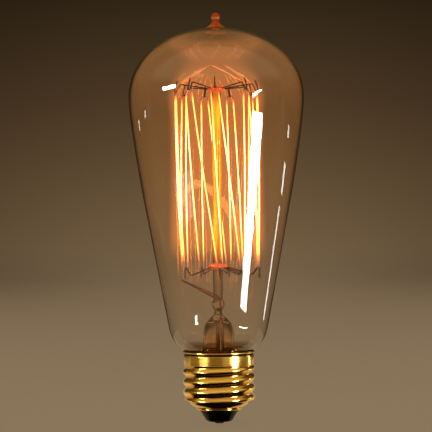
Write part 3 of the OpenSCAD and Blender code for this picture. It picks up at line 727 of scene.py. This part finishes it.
def tip_outline():
    """The tip's outline from the dome up to its top."""
    points = (dome_point(math.pi / 2 * i / 4000) for i in range(4001))
    edge = next((r, z) for r, z in points if r <= TIP_FLARE)
    waist = (1.4, 146.3)
    flare = bezier(edge, (edge[0] - 1.7, edge[1] + 0.55), (1.5, 144.5), waist, 20)
    start = math.asin(waist[0] / TIP_BALL)
    ball = arc((0, TOP - TIP_BALL), TIP_BALL, start - math.pi / 2, math.pi / 2, 24)
    neck = bezier(waist, (1.39, 146.5), (1.36, 146.6), ball[0], 6)
    return flare + neck[1:] + ball[1:]


# ---- the lamp's pieces

def blow_bulb(glass, tip, skin_inside):
    """The bulb and its sealed tip, one wall of glass."""
    outer = bulb_outline()
    pip = tip_outline()
    kept = [p for p in outer if p[0] > pip[0][0] + 0.05]
    outline = kept + pip + list(reversed(inset(outer, GLASS_WALL)))
    piece = turned("blown_bulb", outline, [glass, tip, skin_inside], 160)
    foot, reach = pip[0][1] * MM, 3.9 * MM
    for face in piece.data.polygons:
        rise = face.center.z - MIDDLE
        if face.center.xy.dot(face.normal.xy) + rise * face.normal.z < 0:
            face.material_index = 2
        elif face.center.z > foot and face.center.xy.length < reach:
            face.material_index = 1
    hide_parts("bulb_envelope", "glass_tip")
    return piece


def press_stem(glass):
    """The flared stem tube and the pinched press on top of it, one piece of glass."""
    rise, tube, bore = PRESS_TOP - STEM_TOP, 5.7, 4.7
    thin, wide, gathered = 1.4, 4.3, 2.35
    shoulder = [
        (0, 1), (0.17, 0.94), (0.3, 0.82), (0.38, 0.68), (0.44, 0.52),
        (0.5, 0.34), (0.56, 0.15), (0.61, 0.04), (0.67, 0),
    ]
    gather = [
        (0.74, 0.32, 0.99), (0.81, 0.84, 0.96), (0.88, 1, 0.93), (0.95, 0.74, 0.88), (1, 0.4, 0.82),
    ]
    hollow = [(0, 1), (0.17, 0.94), (0.28, 0.82), (0.35, 0.66), (0.385, 0.45)]
    outside = [
        (STEM_TOP + h * rise, thin + (tube - thin) * k, wide + (tube - wide) * k, 2.6 - 0.6 * k)
        for h, k in shoulder
    ] + [
        (STEM_TOP + h * rise, thin + (gathered - thin) * k, wide * w, 2.4) for h, k, w in gather
    ]
    inside = [(STEM_TOP + h * rise, bore * k, 3.1 + (bore - 3.1) * k, 2.0) for h, k in hollow]
    flare_out = bezier(
        (NECK - 0.72, NECK_FOOT + 0.9), (8.6, NECK_FOOT + 1.1),
        (tube, NECK_FOOT + 2.6), (tube, NECK_FOOT + 5.5), 14,
    )
    flare_in = bezier(
        (NECK - 0.72, NECK_FOOT), (8.0, NECK_FOOT + 0.1),
        (bore, NECK_FOOT + 2.2), (bore, NECK_FOOT + 5.5), 14,
    )
    top = smooth_rows(inside, 5)
    z, half_x, half_y, square = top[-1]
    cap = [
        (z + 0.35 * math.sin(u), half_x * math.cos(u), half_y * math.cos(u), square)
        for u in (math.pi / 2 * i / 5 for i in range(1, 5))
    ]
    inner_rows = cap[::-1] + top[::-1] + [(z, r, r, 2.0) for r, z in flare_in[::-1]][1:]
    outer_rows = [(z, r, r, 2.0) for r, z in flare_out] + smooth_rows(outside, 5)
    z, half_x, half_y, square = outer_rows[-1]
    edge = 0.5
    crown = [
        (z + edge * (math.sin(u) - 1), half_x + edge * (math.cos(u) - 1),
         half_y + edge * (math.cos(u) - 1), 2.3)
        for u in (math.pi / 2 * i / 5 for i in range(1, 6))
    ]
    outer_rows = [row for row in outer_rows if row[0] < z - edge] + crown
    outer_rows.append((z, half_x * 0.4, half_y * 0.4, 2.2))
    rings = [ellipse_ring(a, b, z, q, 72) for z, a, b, q in inner_rows + outer_rows]
    points, faces = skin(rings)
    piece = add_piece("pressed_stem", points, faces, [glass])
    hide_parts("stem_flare", "stem_press")
    return piece


def draw_exhaust_tube(glass):
    """The exhaust tube, sealed off to a rounded point at its lower end."""
    foot, head, r, bore, aside = 12.71, 36.3, 1.35, 0.75, 0.5
    end = bezier((0.35, foot), (0.9, foot + 0.1), (r, foot + 1.2), (r, foot + 2.9), 10)
    inner = bezier(
        (bore, foot + 4.2), (bore, foot + 3.2), (0.45, foot + 2.75), (0.05, foot + 2.7), 8
    )
    outline = [(0.0, foot)] + end + [(r, head), (bore, head)] + inner
    piece = turned("drawn_exhaust_tube", outline, [glass], 48)
    for vertex in piece.data.vertices:
        vertex.co.x += aside * MM
    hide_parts("exhaust_tube")
    return piece


def draw_support_rod(glass):
    """The glass rod, drawn by hand, so its thickness wanders a little."""
    foot, head, steps = PRESS_TOP - 0.02, 121.9, 90
    outline = [(0.0, foot)]
    for i in range(steps + 1):
        t = i / steps
        z = foot + (head - foot) * t
        wander = 0.05 * math.sin(9.1 * t + 0.6) + 0.03 * math.sin(23.0 * t)
        outline.append((1.65 + wander - (0.25 * max(0.0, 1 - (head - z) / 0.3)), z))
    outline.append((0.0, head))
    piece = turned("drawn_support_rod", outline, [glass], 40)
    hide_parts("support_rod")
    return piece


def melt_bead(name, node, radius, height, z, azimuths, glass):
    """A bead of glass, pinched up a little round each wire that is sunk in it."""
    sides, rows, rings = 120, 20, []
    power, pinch, spread = 2 / 2.6, 0.045, 60.0
    for i in range(rows + 1):
        u = -math.pi / 2 + math.pi * i / rows
        r = radius * max(math.cos(u), 0) ** power
        h = height / 2 * math.copysign(abs(math.sin(u)) ** power, u)
        ring = []
        for j in range(sides):
            a = 360 * j / sides
            near = max(math.exp(-((a - az + 180) % 360 - 180) ** 2 / spread) for az in azimuths)
            out = r * (1 - pinch * (1 - near)) * outward(a)
            ring.append((out.x, out.y, z + h))
        rings.append(ring)
    points, faces = skin(rings)
    piece = add_piece(name, points, faces, [glass])
    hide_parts(node)
    return piece


def hook_run(root, elbow, lean, crook, down, tail):
    """A hook's run [radius, height]: out to the elbow, which it leaves along lean, round the
    crook, opening up or down, and on through the tail."""
    root, elbow = Vector(root), Vector(elbow)
    before = elbow - ELBOW_RUN * (elbow - root).normalized()
    after = elbow + ELBOW_RUN * Vector(lean)
    bend = bezier(before, elbow, elbow, after, 8)
    turn = arc(crook, CROOK, math.pi, 2 * math.pi if down else 0, 14)
    return straight(root, before, 8) + bend[1:] + turn + tail


def upper_hook_run():
    """Out, up to the elbow and down round the crook, with the end standing up."""
    crook = (CAGE, UPPER_BEAD - 0.9)
    return hook_run(
        (2.15, UPPER_BEAD), (CAGE - 1.8, UPPER_BEAD + 1.5), (0.42, -0.9), crook, True,
        [(CAGE - 0.05, crook[1] + 1.8), (CAGE - 0.65, crook[1] + 3.6)],
    )


def lower_hook_run():
    """Out and down to the elbow, up over the crook and down."""
    crook = (CAGE, LOWER_BEAD - 1)
    return hook_run(
        (2.45, LOWER_BEAD), (CAGE - 2.3, LOWER_BEAD - 3), (0.9, 0.8), crook, False,
        [(CAGE + CROOK, crook[1] - 1.6), (CAGE + CROOK, crook[1] - 3.2)],
    )


def bend_hooks(name, run, azimuths, node, wire):
    """The ring of hooks on one bead."""
    runs = [[(*(r * outward(az).xy), z) for r, z in run] for az in azimuths]
    piece = wires(name, runs, HOOK_R, wire, 14)
    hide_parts(*[f"{node}_{k + 1}" for k in range(len(azimuths))])
    return piece


LEAD_FEET = [Vector((0.7, -2.6, PRESS_TOP)), Vector((0.7, 2.6, PRESS_TOP))]
LEAD_LEAVES, LEAD_GRIP = [0.81, 0.5], 0.6
LEAD_TURNS = [Vector((-1.21, -2.9, 46.61)), Vector((-2.59, 2.9, 46.02))]
LEAD_TIPS = [Vector((-12.98, -4.98, 52.01)), Vector((-13.29, 4.06, 52.01))]
LEAD_HOLES = [
    tip - LEAD_GRIP * (tip - turn).normalized() for tip, turn in zip(LEAD_TIPS, LEAD_TURNS)
]


def bend_round(azimuth, radius, top):
    """The filament's bend over an upper crook, or under a lower one."""
    out, side = outward(azimuth), sideways(azimuth)
    sign = 1 if top else -1
    middle = (STRAND_TOP if top else STRAND_FOOT) - sign * radius
    return [
        CAGE * out + x * side + up(middle + sign * rise)
        for x, rise in arc((0, 0), radius, math.pi, 0, 16)
    ]


def strand(start, end, steps=24):
    """The points of a strand between two bends, bowed outwards."""
    points = []
    for i in range(1, steps):
        p = start.lerp(end, i / steps)
        bow = STRAND_BOW * math.sin(math.pi * i / steps)
        points.append(p + bow * Vector((p.x, p.y, 0)).normalized())
    return points


def hang_filament(glow):
    """One thread from the front lead's end over and under all the hooks to the rear lead's end."""
    stops = [[LEAD_HOLES[0] + up(rise) for rise in (-0.3, 0.96)]]
    for k, azimuth in enumerate(UPPER_AZIMUTHS):
        stops.append(bend_round(azimuth, TOP_BEND, True))
        if k < len(LOWER_AZIMUTHS):
            stops.append(bend_round(LOWER_AZIMUTHS[k], LOW_BEND, False))
    stops.append([LEAD_HOLES[1] + up(rise) for rise in (0.96, -0.3)])
    run = list(stops[0])
    for stop, following in zip(stops, stops[1:]):
        run += strand(stop[-1], following[0]) + following
    piece = wires("filament_thread", [run], FILAMENT_R, glow, 10)
    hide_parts("filament")
    return piece


def bend_inner_leads(wire):
    """The two leads from the press up to the filament's ends."""
    runs = []
    for foot, leave, turn, tip in zip(LEAD_FEET, LEAD_LEAVES, LEAD_TURNS, LEAD_TIPS):
        before = turn - 0.1 * (tip - turn)
        bend = bezier(foot + up(0.15), foot + up(leave), before, turn, 14)
        runs.append([foot] + bend + straight(turn, tip, 10)[1:])
    piece = wires("inner_leads", runs, LEAD_R, wire, 16)
    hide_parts("inner_lead_front", "inner_lead_rear")
    return piece


def roll_shell(brass):
    """The screw shell: a turned sleeve with a rolled lip and a beaded rim, and the thread
    rolled into it."""
    mean = (CREST + ROOT) / 2
    shoulder, neck = (10.75, 8.15), (12.4, 25.15)
    outside = (
        [(7.6, 5.25)] + arc((7.8, 5.6), 0.45, -1.75, 1.2, 12)
        + bezier((8.05, 6.1), (9.1, 6.15), (10.55, 6.95), shoulder, 18)
        + bezier(shoulder, (10.8, 8.4), (11.9, 8.45), (mean, THREAD_FOOT), 10)[1:]
        + straight((mean, THREAD_FOOT), (mean, THREAD_TOP), 112)[1:-1]
        + straight((SKIRT, THREAD_TOP), (SKIRT, SKIRT_TOP), 12)
        + bezier((SKIRT, SKIRT_TOP), (SKIRT, 24.95), (neck[0], 24.95), neck, 8)[1:]
        + bezier(neck, (neck[0], 25.35), (12.85, 25.5), (12.96, 25.75), 8)[1:]
        + arc((12.85, 25.92), 0.2, -1.1, 1.5, 10)
    )
    inside = [(7.6, 5.75)] + [
        (r - SHEET, z + 0.1) for r, z in outside if r > 8.0 and 6.08 < z < 25.3
    ]
    outline = outside + [(SKIRT - 0.12, 26.0)] + inside[::-1]
    blank = turned("rolled_screw_shell", outline, [brass], 180)
    piece = run_tree(blank, ROLL_THREAD, {"Finish": brass})
    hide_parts("screw_shell")
    return piece


def press_insulator(black):
    """The black glass button that closes the cap, with softened edges."""
    corner, shoulder = (4.2, FOOT), (5.25, 1.65)
    outline = (
        [(1.5, FOOT + 0.12), (1.9, FOOT), corner]
        + bezier(corner, (4.75, FOOT), (5.0, 1.25), shoulder, 8)[1:]
        + straight(shoulder, (7.45, 5.1), 8)[1:]
        + [(7.54, 5.28), (7.54, 5.75), (10.2, 7.9), (10.3, SHANK_TOP), (1.5, SHANK_TOP)]
    )
    piece = turned("pressed_insulator", outline, [black])
    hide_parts("insulator")
    return piece


def stamp_contact(brass, solder):
    """The centre contact's flange and shank, and the solder dome on it."""
    eyelet = turned("stamped_eyelet", [
        (1.1, 0.56), (1.25, FLANGE), (2.5, FLANGE), (2.64, 0.56), (2.7, 0.66), (2.68, 0.8),
        (2.55, FOOT), (1.58, FOOT), (1.5, 0.95), (1.5, SHANK_TOP), (1.1, SHANK_TOP),
    ], [brass], 96)
    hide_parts("contact_eyelet")
    dome = [
        (2.3 * math.sin(u), FLANGE - FLANGE * math.cos(u))
        for u in (math.pi / 2 * i / 14 for i in range(15))
    ]
    plug = [(1.12, 0.53), (1.1, 1.0), (1.05, 1.45), (0.8, 1.52), (0.0, 1.5)]
    cap = turned("solder_dome", dome + plug, [solder], 96)
    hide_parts("contact_solder")
    return [eyelet, cap]


# ---- stage

def pool_edge(b, across):
    """How far the pool of light behind the lamp has faded, towards the sides."""
    return b.between(b.sum("ABSOLUTE", across), 0.03, 0.25, 0.0, 0.42)


def hang_backdrop():
    """The world: a brown backdrop that is seen, walls pale and dark in turn round the room that
    the brass and glass show, and even soft light for what is lit."""
    world = bpy.data.worlds.new("studio_surround")
    world.use_nodes = True
    bpy.context.scene.world = world
    tree = world.node_tree
    tree.nodes.clear()
    b = Bench(tree)
    across, depth, height = b.parts(b.node("ShaderNodeTexCoord", out="Generated"))
    side = b.turn(across, depth) / math.pi
    walls = b.ramp(side, [
        (0.0, (0.10, 0.07, 0.03)), (0.30, (0.14, 0.10, 0.05)), (0.42, (0.03, 0.018, 0.009)),
        (0.52, (0.03, 0.018, 0.009)), (0.60, (0.15, 0.11, 0.06)), (0.80, (0.06, 0.032, 0.012)),
        (1.0, (0.03, 0.015, 0.005)),
    ])
    high_front = b.between(height, 0.25, 0.5) * b.between(side, 0.62, 0.50)
    high_rear = b.between(height, 0.15, 0.4) * b.between(side, 0.62, 0.74)
    walls = b.blend(high_front, walls, (0.75, 0.57, 0.32))
    walls = b.blend(high_rear, walls, (0.11, 0.078, 0.03))
    brown = b.ramp(height / 0.3, [
        (0.0, rgb(113, 92, 66)), (0.128, rgb(101, 81, 56)), (0.244, rgb(89, 69, 47)),
        (0.36, rgb(76, 57, 38)), (0.48, rgb(63, 48, 30)), (0.597, rgb(49, 38, 23)),
        (1.0, rgb(44, 34, 21)),
    ])
    backdrop = b.blend(pool_edge(b, across), brown, (0.0, 0.0, 0.0))
    seen, shown, soft = [
        b.node("ShaderNodeBackground", {"Color": colour, "Strength": strength})
        for colour, strength in ((backdrop, 1.0), (walls, 1.0), ((1.0, 0.93, 0.84), 0.47))
    ]
    straight_on, mirrored, through = b.rays()
    both = b.mix(b.clamp(straight_on + through), b.mix(mirrored, soft, shown), seen)
    tree.links.new(both.socket, tree.nodes.new("ShaderNodeOutputWorld").inputs["Surface"])


def lay_floor():
    """A plain pale table that runs out to the backdrop. The brass and the glass show it darker
    in front of the lamp and behind it, and bright close round its foot."""
    size = 40000
    floor = add_piece(
        "floor", [(-size, -size, 0), (size, -size, 0), (size, size, 0), (-size, size, 0)],
        [(0, 1, 2, 3)], [], smooth=False,
    )
    if floor.data.polygons[0].normal.z < 0:
        floor.data.flip_normals()
    material = bpy.data.materials.new("pale_table")
    material.use_nodes = True
    tree = material.node_tree
    tree.nodes.clear()
    b = Bench(tree)
    spot = b.spot()
    x, y = b.parts(spot, "XY")
    away = b.away(spot)
    paper = b.blend(b.grain(spot, 900, 3), (0.230, 0.171, 0.100), (0.240, 0.178, 0.105))
    lit = b.node("ShaderNodeBsdfDiffuse", {"Color": paper})
    run = b.ramp(1.0 / (away + 1.0), [
        (0.0, rgb(112, 92, 66)), (0.196, rgb(115, 95, 70)), (0.294, rgb(118, 98, 73)),
        (0.385, rgb(121, 101, 76)), (0.526, rgb(126, 106, 80)), (0.714, rgb(132, 112, 86)),
        (1.0, rgb(139, 120, 93)),
    ])
    edge = pool_edge(b, x / (away + 0.01)) * b.between(away, 0.3, 2.5)
    far = b.blend(edge, run, (0.0, 0.0, 0.0))
    side = b.turn(x, y)
    front = b.between(side - b.between(away, 0.009, 0.016, 0.9, 1.4), 0.3, 0.0)
    shade = b.blend(b.between(away, 0.05, 0.08), (0.004, 0.002, 0.001), (0.45, 0.32, 0.15))
    shade = b.blend(b.between(away, 0.11, 0.22), shade, (0.16, 0.095, 0.034))
    sides = b.blend(b.between(side, 1.6, 2.1), run, (0.05, 0.024, 0.008))
    sides = b.blend(b.between(away, 0.060, 0.045), sides, (0.80, 0.60, 0.32))
    seen, shown = [
        b.node("ShaderNodeEmission", {"Color": colour, "Strength": 1.0})
        for colour in (far, b.blend(front, sides, shade))
    ]
    straight_on, mirrored, through = b.rays()
    share = b.clamp(straight_on + through) * b.between(away, 0.05, 0.9, 0.93, 1.0)
    both = b.mix(b.clamp(mirrored - through), b.mix(share, lit, seen), shown)
    tree.links.new(both.socket, tree.nodes.new("ShaderNodeOutputMaterial").inputs["Surface"])
    floor.data.materials.append(material)


def hang_lamp(name, azimuth, rise, distance, width, length, radiance, middle=MIDDLE, turn=0.0):
    """A soft lamp that faces the bulb, at an azimuth (0 is the camera's side, 90 the right) and a
    rise above the bulb's middle, in degrees. Its brightness is for each square metre."""
    light = bpy.data.lights.new(name, "AREA")
    light.shape = "RECTANGLE"
    light.size, light.size_y = width, length
    light.energy = radiance * math.pi * width * length
    light.color = (1.0, 0.95, 0.88)
    lamp = placed(name, light)
    tilt = math.radians(rise)
    out = outward(azimuth) * distance * math.cos(tilt)
    lamp.location = out + up(middle + distance * math.sin(tilt))
    aim = up(middle) - lamp.location
    spin = Matrix.Rotation(math.radians(turn), 3, "Z")
    lamp.rotation_euler = (aim.to_track_quat("-Z", "Y").to_matrix() @ spin).to_euler()
    lamp.visible_camera = False
    return lamp


def lean_lamp(name, near, far, width, radiance, part=(0.0, 1.0)):
    """A long lamp laid from near to far, each an azimuth, a distance and a height, facing the
    bulb. It covers the given part of that line."""
    ends = [outward(a) * away + up(high) for a, away, high in (near, far)]
    foot, head = [ends[0].lerp(ends[1], share) for share in part]
    lamp = hang_lamp(name, 0, 0, 1.0, width, (head - foot).length, radiance)
    lamp.location = (foot + head) / 2
    along = (head - foot).normalized()
    across = along.cross(up(1)).normalized()
    back = across.cross(along)
    if back.dot(up(MIDDLE) - lamp.location) > 0:
        across, back = -across, -back
    lamp.rotation_euler = Matrix((across, along, back)).transposed().to_euler()
    return lamp


def light_studio():
    """Soft light from overhead, and lamps all round that only the glass and brass show."""
    overhead = hang_lamp("overhead_softbox", 0, 80, 1.4, 1.6, 1.6, 2.0)
    overhead.visible_glossy = overhead.visible_transmission = False
    window = 40
    boxes = [
        hang_lamp("left_softbox", -63, 11.4, 1.0, 0.34, 0.085, 90, turn=8),
        hang_lamp("right_softbox", 53.2, 3.6, 1.0, 0.25, 0.042, 90, turn=28),
        hang_lamp("left_rear_lamp_1", -104.6, 0, 0.45, 0.020, 0.013, 7, 0.098),
        hang_lamp("left_rear_lamp_2", -123, 0, 0.45, 0.020, 0.013, 5, 0.098),
        lean_lamp("low_dash", (46, 0.0986, 0.001), (66, 0.1042, 0.001), 0.0025, window),
        lean_lamp("low_comma", (-47.5, 0.101, 0.001), (-47.5, 0.110, 0.002), 0.010, window),
    ]
    strip = (119.4, 0.170, 0.001), (108.7, 0.450, 0.125)
    strip_parts = [(0.018, (0, 0.31)), (0.028, (0.36, 0.50)), (0.022, (0.63, 0.71))]
    for k, (width, part) in enumerate(strip_parts):
        boxes.append(lean_lamp(f"right_rear_strip_{k}", *strip, width, 8, part))
    for k in range(8):
        near, far = [0.118 + 0.170 * (k + end) / 8 for end in (0, 1)]
        width = (near + far) / 2 * (0.235 + 0.03 * k / 7)
        ends = [(52.7, away, 0.475 * away - 0.0545) for away in (near, far)]
        boxes.append(lean_lamp(f"tall_window_{k}", *ends, width, window))
    # Each card's azimuth, distance, width, height and brightness
    cards = [
        (-57, 0.24, 0.060, 0.036, 1.5), (-43, 0.24, 0.055, 0.036, 2.6),
        (-33, 0.24, 0.022, 0.036, 0.6), (22, 0.24, 0.080, 0.036, 0.36),
        (40, 0.24, 0.035, 0.036, 1.0), (-136, 0.05, 0.08, 0.020, 0.42),
        (136, 0.05, 0.08, 0.020, 0.42),
    ]
    for k, (azimuth, away, width, height, radiance) in enumerate(cards):
        card = hang_lamp(f"low_card_{k}", azimuth, 0, away, width, height, radiance, height / 2)
        card.data.color = (1.0, 0.96, 0.86) if radiance >= 1.0 else (1.0, 0.80, 0.48)
        boxes.append(card)
    for lamp in boxes:
        lamp.visible_diffuse = lamp.visible_transmission = False


def set_camera():
    """The photograph's view: a little below the middle, a long lens, leaning half a degree."""
    data = bpy.data.cameras.new("photo_camera")
    data.sensor_width, data.lens = 36.0, 112.3
    data.clip_start, data.clip_end = 0.01, 200.0
    camera = placed("photo_camera", data)
    eye, aim = Vector((0, -0.490, 0.064)), Vector((-0.0005, 0, 0.0751))
    lean = math.radians(0.56)
    ahead = (aim - eye).normalized()
    right = ahead.cross(Vector((math.sin(lean), 0, math.cos(lean)))).normalized()
    turn = Matrix((right, right.cross(ahead), -ahead)).transposed().to_4x4()
    camera.matrix_world = Matrix.Translation(eye) @ turn
    bpy.context.scene.camera = camera


# ---- assembly

set_camera()
hang_backdrop()
lay_floor()
light_studio()
bpy.context.scene.view_settings.view_transform = "Standard"

stem, brass, hook = stem_glass(), rolled_brass(), hook_wire()
seal, solder, red_glass = seal_wire(), tin_solder(), bead_glass()
lead = browned_wire("lead_wire", 900, 4, (0.045, 0.007, 0.003), (0.130, 0.028, 0.011), 0.3, 0.5)
outer = browned_wire("outer_wire", 800, 3, (0.07, 0.032, 0.016), (0.17, 0.085, 0.045), 0.25, 0.7)

pieces = [
    blow_bulb(bulb_glass(), tip_glass(), bulb_glass(inside=True)),
    press_stem(stem),
    draw_exhaust_tube(stem_glass("exhaust_tube_glass", 1.08)),
    draw_support_rod(rod_glass()),
    melt_bead("upper_glass_bead", "upper_bead", 3.15, 1.9, UPPER_BEAD, UPPER_AZIMUTHS, red_glass),
    melt_bead("lower_glass_bead", "lower_bead", 3.45, 2.3, LOWER_BEAD, LOWER_AZIMUTHS, red_glass),
    bend_hooks("upper_hooks", upper_hook_run(), UPPER_AZIMUTHS, "upper_hook", hook),
    bend_hooks("lower_hooks", lower_hook_run(), LOWER_AZIMUTHS, "lower_hook", hook),
    hang_filament(filament_glow()),
    bend_inner_leads(lead),
    roll_shell(brass),
    press_insulator(black_cap_glass()),
    *stamp_contact(brass, solder),
]
for piece in pieces:
    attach(piece, "root")

# The hidden CAD pieces that keep their shape
kept_nodes = {
    "seal_wire_front": seal, "seal_wire_rear": seal,
    "weld_bead_front": seal, "weld_bead_rear": seal,
    "outer_lead_centre": outer, "outer_lead_side": outer,
    "side_solder": solder, "basing_cement": basing_cement(),
}
for node, material in kept_nodes.items():
    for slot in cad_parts[node].material_slots:
        slot.material = material
